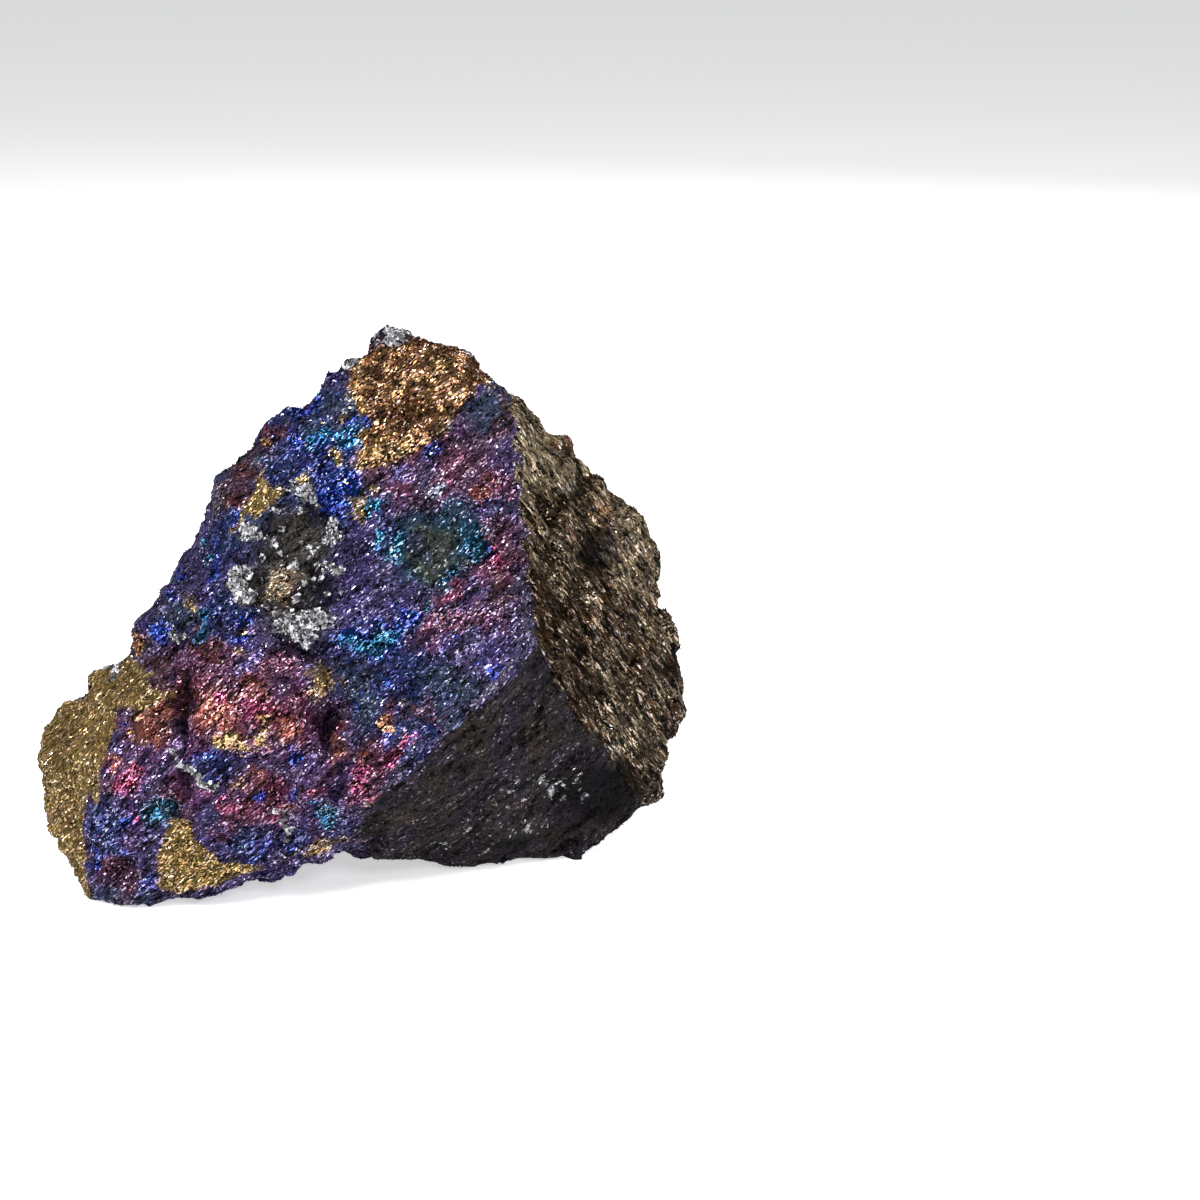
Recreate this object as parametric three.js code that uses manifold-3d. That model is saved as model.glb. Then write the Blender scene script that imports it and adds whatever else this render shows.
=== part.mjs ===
// A hand-sized piece of peacock ore: chalcopyrite and bornite grown together with a little quartz, broken
// out of the rock as one angular stone. Everything on it is one solid, because the minerals are grown into
// each other. Millimetres, +Z up. The stone rests on a small flat break at z = 0, near the origin. Its broad
// tarnished face looks towards -Y and leans back, and its brown, layered side looks towards +X.
import * as THREE from 'three';
import { ConvexGeometry } from 'three/addons/geometries/ConvexGeometry.js';
import { TessellateModifier } from 'three/addons/modifiers/TessellateModifier.js';
import { mergeVertices } from 'three/addons/utils/BufferGeometryUtils.js';
import { ImprovedNoise } from 'three/addons/math/ImprovedNoise.js';
import Module from 'manifold-3d';

// ---- Driving dimensions, in mm ----

// The main block, by the corners where its broken faces meet.
const CROWN = [[4.2, -3, 59.6], [8.7, -3, 58.4], [12.5, -4, 57.5], [4, 4, 55.5], [12, 6, 54]];
const FRONT_RIDGE = [[15.3, -5.5, 55.8], [18, -8, 54.2], [18.5, -11, 48.5], [19.5, -15.5, 39.5], [20, -21, 29.5]];
const LEFT_EDGE = [
  [-2, -1, 55.9], [-7, -2, 51.5], [-10.3, -3, 48.8], [-13.5, -5, 42], [-15.5, -6, 39],
  [-20.5, -9, 31.5], [-22.7, -10, 28.6], [-25, -11, 24.3],
];
const LEFT_SWELL = [[-3, -6, 50.5], [-9, -9.5, 42.5], [-14, -13.5, 33.5]];
const OVERHANG_EDGE = [[14, -23.3, 24.5], [8.5, -25, 17.5], [1.5, -25.5, 13.5]];
const OVERHANG_FOOT = [[29, -4, 1.5], [13, -13, 2], [1, -21, 7], [-8, -18, 8]];
const OVERHANG_SIDE = [[23.5, -16, 22], [27.5, -9, 13.5], [33, -3.5, 7]];
const RIGHT_EDGE = [
  [25.3, 2, 45], [30, 7, 37.8], [33, 12, 33.4], [35.6, 13, 28.5],
  [36.5, 12, 19.5], [37.3, 11, 12.5], [35.4, 8.5, 7.8], [34, 4.5, 3.4],
];
const BACK = [
  [24, 17, 39], [33, 22, 19], [29, 20, 6],
  [2, 20, 41], [8, 25.5, 24], [5, 23.5, 8],
  [-18, 9, 33], [-26, 10, 15],
];
const UNDERSIDE = [[-21, 9, 4], [-21, -4, 3], [-4, 20, 4], [19, 19, 3.5], [31, 9, 3]];
const BASE = [
  [23.5, -7, 0], [12, -8, 0], [-7, -6, 0], [-14, -2, 0],
  [-12, 8, 0], [0, 14, 0], [18, 13, 0], [27, 5, 0],
];

// The lower left block, which swells out in front of the broad face: the tarnished lobe, and the brassy
// shoulder that runs on from it to the left. They meet in a ridge.
const LOBE_TOP = [[-20, -13.5, 26], [-15.5, -16.5, 28.5], [-8, -18, 29.5], [-1, -21, 27], [3, -21.5, 23]];
const LOBE_FRONT = [
  [-15, -24, 21.5], [-7, -25.5, 19.5], [-2, -25, 19.5], [3.5, -23, 19],
  [-19.5, -24.8, 16.5], [-12, -26.5, 12.5], [-1.5, -25.8, 15], [2.5, -24.5, 13],
];
const LOBE_FOOT = [[-23, -22, 0.8], [-16.5, -22, 1.2], [-11.5, -21.5, 2.2], [-4, -22.5, 4.6], [2, -21, 7]];
const SHOULDER_RIDGE = [[-22.5, -18.5, 22], [-25.5, -22, 14], [-26.5, -22, 7], [-27, -20, 0]];
const SHOULDER_EDGE = [
  [-25, -8, 24.8], [-31.2, -6, 20.8], [-34, -7, 16], [-36, -8, 12.8], [-34, -11, 7], [-30.5, -15, 3],
];
const LOWER_LEFT_BACK = [
  [-33, 3, 13], [-27, 8, 8], [-24, 5, 4], [-23, -3, 2],
  [-15, 0, 22], [-10, -8, 2], [0, -10, 14],
];

// What stands out from the faces, and what is broken out of them: a place, how far it reaches from there,
// and how high it stands (+) or how deep it goes in (-).
const KNOBS_AND_HOLLOWS = [
  { name: 'mouth of the quartz pocket', at: [-5.5, -12, 39.5], reach: 6.2, height: -3 },
  { name: 'lower end of the pocket', at: [-6, -14.5, 34], reach: 4, height: -1.6 },
  { name: 'side gap of the pocket', at: [-11.5, -13.5, 34.5], reach: 3.6, height: -1.6 },
  { name: 'quartz above the pocket', at: [-6, -10, 43.5], reach: 2.6, height: 0.9 },
  { name: 'quartz right of the pocket', at: [-1, -13, 38.5], reach: 2.4, height: 0.8 },
  { name: 'quartz below the pocket', at: [-4.5, -17, 30], reach: 3.6, height: 1.2 },
  { name: 'quartz knob on the peak', at: [4, -3, 59.6], reach: 2.2, height: 0.6 },
  { name: 'quartz knob beside the peak', at: [0, -1, 56], reach: 2.6, height: 0.5 },
  { name: 'brassy knob above the groove', at: [-1.5, -22, 25.5], reach: 2.6, height: 1.1 },
  { name: 'pink knob beside the groove', at: [2, -25, 15.5], reach: 2.8, height: 1.3 },
  { name: 'dark hollow left of the copper plate', at: [-17.5, -19.5, 24], reach: 4, height: -1.5 },
  { name: 'notch where the shoulder starts', at: [-26.5, -9, 24], reach: 4, height: -1.3 },
  { name: 'broken ledge of the shoulder', at: [-32, -14.5, 8], reach: 4, height: -1.2 },
  { name: 'step in the left edge', at: [-8.5, -3, 49], reach: 3.2, height: 0.7 },
  { name: 'notch in the left edge', at: [-4.8, -2.5, 52.5], reach: 3.4, height: -0.6 },
  { name: 'upper notch in the right edge', at: [22.7, -1.5, 48.5], reach: 3, height: -1.5 },
  { name: 'lower notch in the right edge', at: [30.5, 7.5, 38.2], reach: 4, height: -1.6 },
  { name: 'corner between the notches', at: [25.6, 3, 45], reach: 2.6, height: 0.8 },
  { name: 'corner below the notches', at: [34.5, 12.5, 32], reach: 3, height: 0.7 },
  { name: 'flat stretch of the right edge', at: [36, 13, 25.5], reach: 5, height: -1 },
  { name: 'flat stretch of the left edge', at: [-17, -7, 36.5], reach: 7, height: -2 },
  { name: 'swell low on the left edge', at: [-21.5, -9.5, 31], reach: 3.6, height: 1.6 },
  { name: 'notch below that swell', at: [-25, -11, 26], reach: 3.4, height: -1.3 },
  { name: 'upper hole in the layered side', at: [22.5, -8, 41.5], reach: 3.2, height: -1.7 },
  { name: 'middle hole in the layered side', at: [21.5, -12.5, 37], reach: 2.6, height: -1.2 },
  { name: 'lower hole in the layered side', at: [25, -7.5, 33], reach: 3.2, height: -1.8 },
  { name: 'recess low on the right edge', at: [35.5, 6, 6.8], reach: 3.6, height: -2 },
  { name: 'flat dark patch of the broad face', at: [9, -15, 39], reach: 6, height: -0.6 },
  { name: 'scoop in the back', at: [14, 23, 30], reach: 10, height: -2.6 },
  { name: 'scoop in the left of the back', at: [-12, 14, 24], reach: 9, height: -2.2 },
  { name: 'shoulder of the back', at: [24, 23, 16], reach: 8, height: 1.5 },
];

// The groove between the lobe and the broad face runs down through these points.
const GROOVE = [[0, -21.5, 26.5], [-1.5, -23.5, 22], [-4, -25.5, 18.5], [-7.5, -26, 14]];
const GROOVE_WIDTH = 3;
const GROOVE_DEPTH = 2.2;

// Plates that stand proud of the face behind them, by their outline across (x) and up (z).
const PLATES = [
  {
    name: 'brassy cap of the broad face',
    outline: [
      [-0.5, 55.5], [2.5, 58], [9, 58.5], [14.5, 56], [16, 54.5], [12, 51.5],
      [10.5, 49.5], [6, 46.5], [2, 46], [1.5, 47], [3, 49], [0.5, 52],
    ],
    height: 0.8,
  },
  {
    name: 'copper plate on the lobe',
    outline: [[-16, 27], [-7.5, 27], [-4, 24], [-7, 21], [-13, 20.5], [-16, 23.5]],
    height: 0.9,
  },
];
const PLATE_EDGE = 1.2;

// The front of the underside is arched, so that the stone stands on its middle and on the left foot.
const ARCH = { at: [0, -13, 0], reach: 10, height: 1.5 };

// The three flat faces, by the way they look. They have a smaller share of the lumps and chips. A surface
// counts as one of them from FACE_STARTS, and wholly from FACE_FULL, by the cosine between the directions.
const BROAD_FACE = [-0.16, -0.88, 0.46];
const OVERHANG = [0.48, -0.81, -0.33];
const LAYERED_SIDE = [0.88, -0.42, 0.22];
const FACE_STARTS = 0.85;
const FACE_FULL = 0.97;
const FLAT_FACE_SHARE = 0.45;

// The grain of the break: rounded lumps and flat chips all over, low ribs on the broad face that rise to the
// right, and the steps of the layered side, which run down to the right.
const LUMP_SIZE = 11;
const LUMP_HEIGHT = 1.1;
const CHIP_SIZE = 7.5;
const CHIP_SLOPE = 0.22;
const ACROSS_THE_RIBS = [-0.67, 0.5, 0.55];
const RIB_SPACING = 4.5;
const RIB_LENGTH = 14;
const RIB_HEIGHT = 0.35;
const ACROSS_THE_LAYERS = [0.26, 0.77, 0.57];
const LAYER_SPACING = 7.5;
const LAYER_STEP = 1.3;
const LAYER_WAVE = 0.35;

// The net of triangles.
const WELD_DISTANCE = 1e-4;
const LONGEST_EDGE = 2.9;
const SPLIT_PASSES = 14;
const RELAX_PASSES = 6;
const FLAT_WITHIN = THREE.MathUtils.degToRad(9);
const LOWEST_ABOVE_BASE = 0.3;

// ---- The block, before its surface is broken up ----

const solidKit = await Module();
solidKit.setup();

const point = ([x, y, z]) => new THREE.Vector3(x, y, z);
const direction = (xyz) => point(xyz).normalize();

function asSolid(geometry) {
  geometry.deleteAttribute('normal');
  const merged = mergeVertices(geometry, WELD_DISTANCE);
  const mesh = new solidKit.Mesh({
    numProp: 3,
    vertProperties: new Float32Array(merged.attributes.position.array),
    triVerts: new Uint32Array(merged.index.array),
  });
  return new solidKit.Manifold(mesh);
}

function asGeometry(solid) {
  const mesh = solid.getMesh();
  const geometry = new THREE.BufferGeometry();
  geometry.setAttribute('position', new THREE.BufferAttribute(new Float32Array(mesh.vertProperties), 3));
  geometry.setIndex(new THREE.BufferAttribute(new Uint32Array(mesh.triVerts), 1));
  return geometry;
}

const chunk = (...corners) => asSolid(new ConvexGeometry(corners.flat().map(point)));

const mainBlock = chunk(
  CROWN, FRONT_RIDGE, LEFT_EDGE, LEFT_SWELL, RIGHT_EDGE, BACK,
  OVERHANG_EDGE, OVERHANG_SIDE, OVERHANG_FOOT, UNDERSIDE, BASE,
);
const lowerLeft = chunk(LOBE_TOP, LOBE_FRONT, LOBE_FOOT, SHOULDER_RIDGE, SHOULDER_EDGE, LOWER_LEFT_BACK);

// ---- An even net of triangles over it ----

function splitFinely(geometry) {
  const splitter = new TessellateModifier(LONGEST_EDGE, SPLIT_PASSES);
  const split = mergeVertices(splitter.modify(geometry.toNonIndexed()), WELD_DISTANCE);
  split.computeVertexNormals();
  return split;
}

// A vertex inside a flat face moves to the middle of its neighbours, and one on an edge stays.
function evenOut(geometry) {
  const positions = geometry.attributes.position;
  const faces = geometry.index.array;
  const neighbours = Array.from({ length: positions.count }, () => new Set());
  const normals = Array.from({ length: positions.count }, () => []);
  const triangle = new THREE.Triangle();
  for (let first = 0; first < faces.length; first += 3) {
    const corners = [faces[first], faces[first + 1], faces[first + 2]];
    triangle.setFromAttributeAndIndices(positions, ...corners);
    const normal = triangle.getNormal(new THREE.Vector3());
    for (const own of corners) {
      normals[own].push(normal);
      corners.filter((other) => other !== own).forEach((other) => neighbours[own].add(other));
    }
  }
  const isFlat = normals.map((around) => around.every((normal) => normal.angleTo(around[0]) < FLAT_WITHIN));
  for (let pass = 0; pass < RELAX_PASSES; pass += 1) {
    for (let own = 0; own < positions.count; own += 1) {
      if (!isFlat[own]) continue;
      const middle = new THREE.Vector3();
      const place = new THREE.Vector3();
      for (const other of neighbours[own]) middle.add(place.fromBufferAttribute(positions, other));
      middle.divideScalar(neighbours[own].size);
      positions.setXYZ(own, middle.x, middle.y, middle.z);
    }
  }
  return geometry;
}

// ---- The broken surface ----

const perlin = new ImprovedNoise();
const { smoothstep } = THREE.MathUtils;

function lumps(p, size) {
  let height = 0;
  for (const octave of [1, 2, 4]) {
    const scale = octave / size;
    height += perlin.noise(p.x * scale, p.y * scale, p.z * scale) / octave;
  }
  return height;
}

function random(cell, salt) {
  const value = Math.sin(cell.x * 127.1 + cell.y * 311.7 + cell.z * 74.7 + salt * 53.3) * 43758.5453;
  return value - Math.floor(value);
}

// Space is divided into chips, each the part that lies nearest to one seed point. The surface is flat
// within a chip and tilted its own way, so it steps at the chip's rim.
function chips(p, size) {
  const home = p.clone().divideScalar(size).floor();
  let nearest = Infinity;
  let height = 0;
  for (let i = -1; i <= 1; i += 1) {
    for (let j = -1; j <= 1; j += 1) {
      for (let k = -1; k <= 1; k += 1) {
        const cell = home.clone().add(new THREE.Vector3(i, j, k));
        const jitter = new THREE.Vector3(random(cell, 1), random(cell, 2), random(cell, 3));
        const away = p.clone().sub(jitter.add(cell).multiplyScalar(size));
        if (away.length() < nearest) {
          nearest = away.length();
          const tilt = new THREE.Vector3(random(cell, 4), random(cell, 5), random(cell, 6)).subScalar(0.5);
          height = tilt.multiplyScalar(2).dot(away);
        }
      }
    }
  }
  return height;
}

// Layers end in steps: the height climbs slowly across one layer and drops at its broken end.
function layers(p) {
  const place = p.dot(direction(ACROSS_THE_LAYERS)) / LAYER_SPACING + LAYER_WAVE * lumps(p, LUMP_SIZE);
  return place - Math.floor(place) - 0.5;
}

function ribs(p) {
  const across = p.dot(direction(ACROSS_THE_RIBS));
  return perlin.noise(across / RIB_SPACING, p.x / RIB_LENGTH, p.z / RIB_LENGTH);
}

function knobsAndHollows(p) {
  let height = 0;
  for (const feature of KNOBS_AND_HOLLOWS) {
    const distance = p.distanceTo(point(feature.at)) / feature.reach;
    height += feature.height * (1 - smoothstep(distance, 0.35, 1));
  }
  return height;
}

function groove(p) {
  const piece = new THREE.Line3();
  const foot = new THREE.Vector3();
  let distance = Infinity;
  for (let start = 0; start + 1 < GROOVE.length; start += 1) {
    piece.set(point(GROOVE[start]), point(GROOVE[start + 1]));
    piece.closestPointToPoint(p, true, foot);
    distance = Math.min(distance, foot.distanceTo(p));
  }
  return -GROOVE_DEPTH * (1 - smoothstep(distance, 0, GROOVE_WIDTH));
}

// How far a point lies inside an outline drawn across and up, and below zero outside it.
function depthInside(outline, across, up) {
  let inside = false;
  let nearest = Infinity;
  const place = new THREE.Vector3(across, up, 0);
  const side = new THREE.Line3();
  const foot = new THREE.Vector3();
  outline.forEach(([x, z], index) => {
    const [nextX, nextZ] = outline[(index + 1) % outline.length];
    side.set(new THREE.Vector3(x, z, 0), new THREE.Vector3(nextX, nextZ, 0));
    side.closestPointToPoint(place, true, foot);
    nearest = Math.min(nearest, foot.distanceTo(place));
    const crosses = z > up !== nextZ > up;
    if (crosses && across < ((nextX - x) * (up - z)) / (nextZ - z) + x) inside = !inside;
  });
  return inside ? nearest : -nearest;
}

function plates(p, normal) {
  if (normal.y > -0.2) return 0;
  let height = 0;
  for (const plate of PLATES) {
    const depth = depthInside(plate.outline, p.x, p.z);
    height += plate.height * smoothstep(depth, -PLATE_EDGE / 2, PLATE_EDGE / 2);
  }
  return height;
}

const onFace = (normal, face) => smoothstep(normal.dot(direction(face)), FACE_STARTS, FACE_FULL);

// How far the broken surface stands out from the block, in mm.
function standOut(p, normal) {
  const broad = onFace(normal, BROAD_FACE);
  const layered = onFace(normal, LAYERED_SIDE);
  const flat = Math.max(broad, layered, onFace(normal, OVERHANG));
  const calm = 1 - (1 - FLAT_FACE_SHARE) * flat;
  return (
    calm * (LUMP_HEIGHT * lumps(p, LUMP_SIZE) + CHIP_SLOPE * chips(p, CHIP_SIZE)) +
    broad * RIB_HEIGHT * ribs(p) +
    layered * LAYER_STEP * layers(p) +
    knobsAndHollows(p) +
    plates(p, normal) +
    groove(p)
  );
}

function archOver(p) {
  return ARCH.height * (1 - smoothstep(p.distanceTo(point(ARCH.at)), 0.3 * ARCH.reach, ARCH.reach));
}

// Every vertex moves out or in along its own normal. The base stays flat, apart from the arch.
function breakUp(geometry) {
  const positions = geometry.attributes.position;
  const normals = geometry.attributes.normal;
  for (let own = 0; own < positions.count; own += 1) {
    const p = new THREE.Vector3().fromBufferAttribute(positions, own);
    const normal = new THREE.Vector3().fromBufferAttribute(normals, own);
    const onBase = p.z < 0.01;
    const lift = archOver(p);
    const moved = onBase ? p.clone() : p.clone().addScaledVector(normal, standOut(p, normal));
    moved.z += lift;
    if (!onBase) moved.z = Math.max(moved.z, LOWEST_ABOVE_BASE);
    positions.setXYZ(own, moved.x, moved.y, moved.z);
  }
  geometry.computeVertexNormals();
  return geometry;
}

const stone = breakUp(evenOut(splitFinely(asGeometry(mainBlock.add(lowerLeft)))));

// ---- The part ----

const tarnishedOre = new THREE.MeshStandardMaterial({ color: 0x4a3560, roughness: 0.45, metalness: 0.6 });
const ore = new THREE.Mesh(stone, tarnishedOre);
ore.name = 'peacock_ore';

const group = new THREE.Group();
group.add(ore);
export default group;
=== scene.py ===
# A hand-sized piece of peacock ore, broken out of the rock as one angular stone: chalcopyrite and bornite
# grown into each other, with a pocket of quartz, and tarnished in all the colours of a peacock's feather.
import math

import bmesh
import bpy
import numpy as np
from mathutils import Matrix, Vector, noise


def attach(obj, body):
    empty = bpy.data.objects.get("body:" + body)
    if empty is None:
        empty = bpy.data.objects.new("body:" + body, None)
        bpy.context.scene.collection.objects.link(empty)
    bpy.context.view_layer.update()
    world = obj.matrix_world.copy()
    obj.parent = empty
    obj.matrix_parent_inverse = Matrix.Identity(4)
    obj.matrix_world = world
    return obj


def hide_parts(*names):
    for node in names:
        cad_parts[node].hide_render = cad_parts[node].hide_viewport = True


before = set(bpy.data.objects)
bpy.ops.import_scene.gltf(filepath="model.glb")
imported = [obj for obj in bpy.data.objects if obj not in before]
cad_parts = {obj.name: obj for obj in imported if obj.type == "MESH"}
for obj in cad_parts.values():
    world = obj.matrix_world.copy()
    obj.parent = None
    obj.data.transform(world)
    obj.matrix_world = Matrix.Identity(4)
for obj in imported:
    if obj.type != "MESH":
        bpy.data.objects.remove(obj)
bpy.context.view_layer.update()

# ---- The table and the light ----
# A plain white table, seen from a little above. A wide soft box hangs over the stone and in front of it,
# and smaller lamps give the grains their glints.

MM = 0.001
TABLE_SIZE = 6000 * MM
TABLE_WHITE = "#f4f4f4"
TABLE_GLOW = 0.62
CAMERA_PLACE = (27.6 * MM, -291.3 * MM, 112.1 * MM)
CAMERA_LENS = 80
CAMERA_SENSOR = 36
CAMERA_TILT = math.radians(90 - 16)
AIM = Vector((0, 0, 28 * MM))
ROOM_GREY = "#c8ccd2"
ROOM_LIGHT = 0.22


def srgb(colour):
    """The linear red, green, blue and alpha of an sRGB hex value."""
    parts = [int(colour[start:start + 2], 16) / 255 for start in (1, 3, 5)]
    linear = [part / 12.92 if part <= 0.04045 else ((part + 0.055) / 1.055) ** 2.4 for part in parts]
    return (*linear, 1)


def add(tree, kind, inputs=None, **settings):
    """Adds a node. Inputs are named by socket name or identifier, and hold a value or the socket to link."""
    node = tree.nodes.new(kind)
    for name, value in settings.items():
        setattr(node, name, value)
    for name, value in (inputs or {}).items():
        socket = next(s for s in node.inputs if name in (s.identifier, s.name) and s.enabled)
        if isinstance(value, bpy.types.NodeSocket):
            tree.links.new(value, socket)
        else:
            socket.default_value = value
    return node


def new_material(name):
    material = bpy.data.materials.new(name)
    material.use_nodes = True
    material.node_tree.nodes.clear()
    return material


def new_object(name, data):
    made = bpy.data.objects.new(name, data)
    bpy.context.scene.collection.objects.link(made)
    return made


def piece_from(name, shape, material):
    """Turns a bmesh into a piece that stands where its vertices are."""
    mesh = bpy.data.meshes.new(name)
    shape.to_mesh(mesh)
    shape.free()
    mesh.materials.append(material)
    return new_object(name, mesh)


# Matt white paint, with no shine. A little light of its own keeps the table white up to its far edge.
white_paint = new_material("matt_white_table")
tree = white_paint.node_tree
shader = add(tree, "ShaderNodeBsdfPrincipled", {
    "Base Color": srgb(TABLE_WHITE), "Roughness": 0.9, "Specular IOR Level": 0.1,
    "Emission Color": srgb(TABLE_WHITE), "Emission Strength": TABLE_GLOW,
})
add(tree, "ShaderNodeOutputMaterial", {"Surface": shader.outputs["BSDF"]})

table_top = bmesh.new()
bmesh.ops.create_grid(table_top, x_segments=1, y_segments=1, size=TABLE_SIZE / 2)
table = piece_from("table", table_top, white_paint)

camera = new_object("camera", bpy.data.cameras.new("camera"))
camera.data.lens = CAMERA_LENS
camera.data.sensor_width = CAMERA_SENSOR
camera.location = CAMERA_PLACE
camera.rotation_euler = (CAMERA_TILT, 0, 0)
bpy.context.scene.camera = camera

LAMPS = [
    # name, place and width in mm, and power in watts
    ("soft_box", (-150, -330, 420), 220, 2.2),
    ("front_lamp", (180, -460, 300), 110, 1.0),
    ("left_lamp", (-420, -220, 260), 110, 1.4),
    ("right_lamp", (430, -120, 300), 130, 1.3),
    ("top_lamp", (60, 40, 560), 120, 1.1),
    ("back_lamp", (160, 420, 320), 220, 1.3),
]
for lamp_name, place, width, power in LAMPS:
    light = bpy.data.lights.new(lamp_name, "AREA")
    light.shape = "DISK"
    light.size = width * MM
    light.energy = power
    lamp = new_object(lamp_name, light)
    lamp.location = Vector(place) * MM
    lamp.rotation_euler = (AIM - lamp.location).to_track_quat("-Z", "Y").to_euler()

world = bpy.data.worlds.new("room")
world.use_nodes = True
world.node_tree.nodes["Background"].inputs["Color"].default_value = srgb(ROOM_GREY)
world.node_tree.nodes["Background"].inputs["Strength"].default_value = ROOM_LIGHT
bpy.context.scene.world = world
bpy.context.scene.view_settings.view_transform = "Standard"

# ---- The ore body ----
# Chalcopyrite and bornite, grown together and broken along no plane for long. The break is granular: each
# grain is a small flat facet tilted its own way. Chips, plates, streaks and cracks give the coarser relief.

# The way that each flat face looks, and the lay of the grains on the front and on the layered side.
BROAD_FACE = Vector((-0.16, -0.88, 0.46)).normalized()
OVERHANG = Vector((0.48, -0.81, -0.33)).normalized()
LAYERED_SIDE = Vector((0.88, -0.42, 0.22)).normalized()
LAY_ACROSS_FRONT = Vector((0.74, 0.19, 0.62)).normalized()
LAY_DOWN_SIDE = Vector((0.38, 0.52, -0.76)).normalized()

# The net of triangles: how near corners are welded, in mm, how often each edge is cut, and how often it is
# rounded off, for the body and for the way that its large faces look. Below the base height it stays flat.
WELD_GAP = 0.005
CUTS = 3
ROUNDING_PASSES = 3
FACING_PASSES = 40
BASE_HEIGHT = 0.05

# The relief, in mm: the size of its flat cells, how steeply they lean and how much longer they are along the
# lay, and the width, length and height of its streaks. The overhang and the layered side have a share of it.
GRAIN_SIZE, GRAIN_SLOPE, GRAIN_STRETCH = 1.3, 0.22, 2.0
CHIP_SIZE, CHIP_SLOPE, CHIP_STRETCH = 3.2, 0.16, 1.6
PLATE_SIZE, PLATE_SLOPE, PLATE_STRETCH = 8.0, 0.14, 1.3
STREAK_WIDTH, STREAK_LENGTH, STREAK_HEIGHT = 1.1, 6, 0.12
LAYER_WIDTH, LAYER_LENGTH, LAYER_HEIGHT = 1.3, 13, 0.4
OVERHANG_SHARE, SIDE_SHARE = 0.5, 0.6
# A cell draws its tilt from the place of its seed. Seeds are spread this far, so that hardly two draw alike.
SEED_SPREAD = 91.7

# The layered side and the overhang, as they show from the front: the places across and up of their outlines.
SIDE_OUTLINE = [
    (15.3, 55.8), (18, 54.2), (18.5, 48.5), (19, 43.5), (19.7, 38), (20.3, 32), (20.8, 29.3), (23.3, 23),
    (26.3, 17), (29.8, 10.5), (33, 2.5), (33, -1), (60, -1), (60, 70), (15.3, 70),
]
UNDER_OUTLINE = [
    (20.8, 29.3), (17, 25), (11.5, 20.5), (6.5, 16), (2, 11.5), (1.2, 7), (1.5, -1), (33, -1), (33, 2.5),
    (29.8, 10.5), (26.3, 17), (23.3, 23),
]
# Their edges wander: how far, over what distance, and where the drift across and the drift up start.
REGION_WANDER = [(0.8, 2.2, 71, 73)]

# Cracks and the dark gaps between plates: how wide and how deep, and the places across and up that they
# run through.
CRACKS = [
    (0.5, 0.6, [(-25.2, 20.6), (-23.4, 21.4), (-21.5, 22), (-17.8, 22.9)]),
    (0.4, 0.5, [(12.3, 43.9), (13.6, 43.3), (15, 43.1), (16.4, 43.4)]),
    (0.5, 0.6, [(8.3, 22.3), (9.6, 21.3), (10.6, 21.1), (11.3, 20.5)]),
    (0.9, 0.9, [(-1.3, 22.4), (-1.6, 20.6), (-1.2, 19)]),
    (0.4, 0.5, [(-31.6, 15.4), (-30.5, 14.4), (-30.2, 13.4)]),
    (0.7, 0.8, [(-16.6, 25.5), (-17, 23), (-16.4, 20.3), (-17, 18.2)]),
    (0.6, 0.7, [(-9.6, 35.2), (-9.3, 33.6), (-9.8, 32)]),
    (0.8, 0.9, [(-4.2, 35.4), (-3.6, 34), (-4.4, 32.8)]),
    (0.5, 0.5, [(-12.6, 36.6), (-11.6, 35.8), (-10.8, 35.6)]),
    (0.5, 0.6, [(-8, 28.2), (-5.5, 27.7), (-2.5, 27.9), (-0.8, 28.8)]),
]
# The share of its width within which a crack has its full depth.
CRACK_FLOOR = 0.2


def smoothstep(value, start, end):
    share = np.clip((value - start) / (end - start), 0, 1)
    return share * share * (3 - 2 * share)


def drift(places, scale, start):
    """A smooth random value, about -0.5 to 0.5, that changes over the given distance."""
    return np.array([noise.noise(Vector(place) / scale + Vector((start, 0, 0))) for place in places])


def wandered(points, places, wander):
    """How far across and up the points lie, each moved off by drifts over the places."""
    x, z = points[:, 0], points[:, 2]
    for far, scale, start_across, start_up in wander:
        x = x + far * drift(places, scale, start_across)
        z = z + far * drift(places, scale, start_up)
    return x, z


def squeezed_along(places, lay, share):
    """Places squeezed along the lay, so that a pattern over them is drawn out along it."""
    lay = np.array(lay)
    return places - (places @ lay * (1 - share))[:, None] * lay


def gap_to(line, x, z):
    """How far each place lies from a line through the given points."""
    best = np.full(len(x), np.inf)
    for (x1, z1), (x2, z2) in zip(line, line[1:]):
        run = (x2 - x1) ** 2 + (z2 - z1) ** 2
        share = np.clip(((x - x1) * (x2 - x1) + (z - z1) * (z2 - z1)) / run, 0, 1)
        best = np.minimum(best, np.hypot(x - x1 - share * (x2 - x1), z - z1 - share * (z2 - z1)))
    return best


def within(outline, x, z):
    """How far each place lies within an outline with a sharp edge."""
    inside = np.zeros(len(x), bool)
    for (x1, z1), (x2, z2) in zip(outline, outline[1:] + outline[:1]):
        between = (z1 > z) != (z2 > z)
        inside ^= between & (x < (x2 - x1) * (z - z1) / (z2 - z1 + 1e-9) + x1)
    gap = gap_to(outline + outline[:1], x, z)
    return smoothstep(np.where(inside, gap, -gap), -0.2, 0.2)


def regions(places, facing):
    """How far each place belongs to the front, to the layered side and to the overhang."""
    x, z = wandered(places, places, REGION_WANDER)
    front = smoothstep(-facing[:, 1], -0.25, -0.05)
    side = within(SIDE_OUTLINE, x, z) * smoothstep(facing @ np.array(LAYERED_SIDE), 0.0, 0.2)
    under = within(UNDER_OUTLINE, x, z) * smoothstep(facing @ np.array(OVERHANG), 0.2, 0.4)
    return front, side, under


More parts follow.
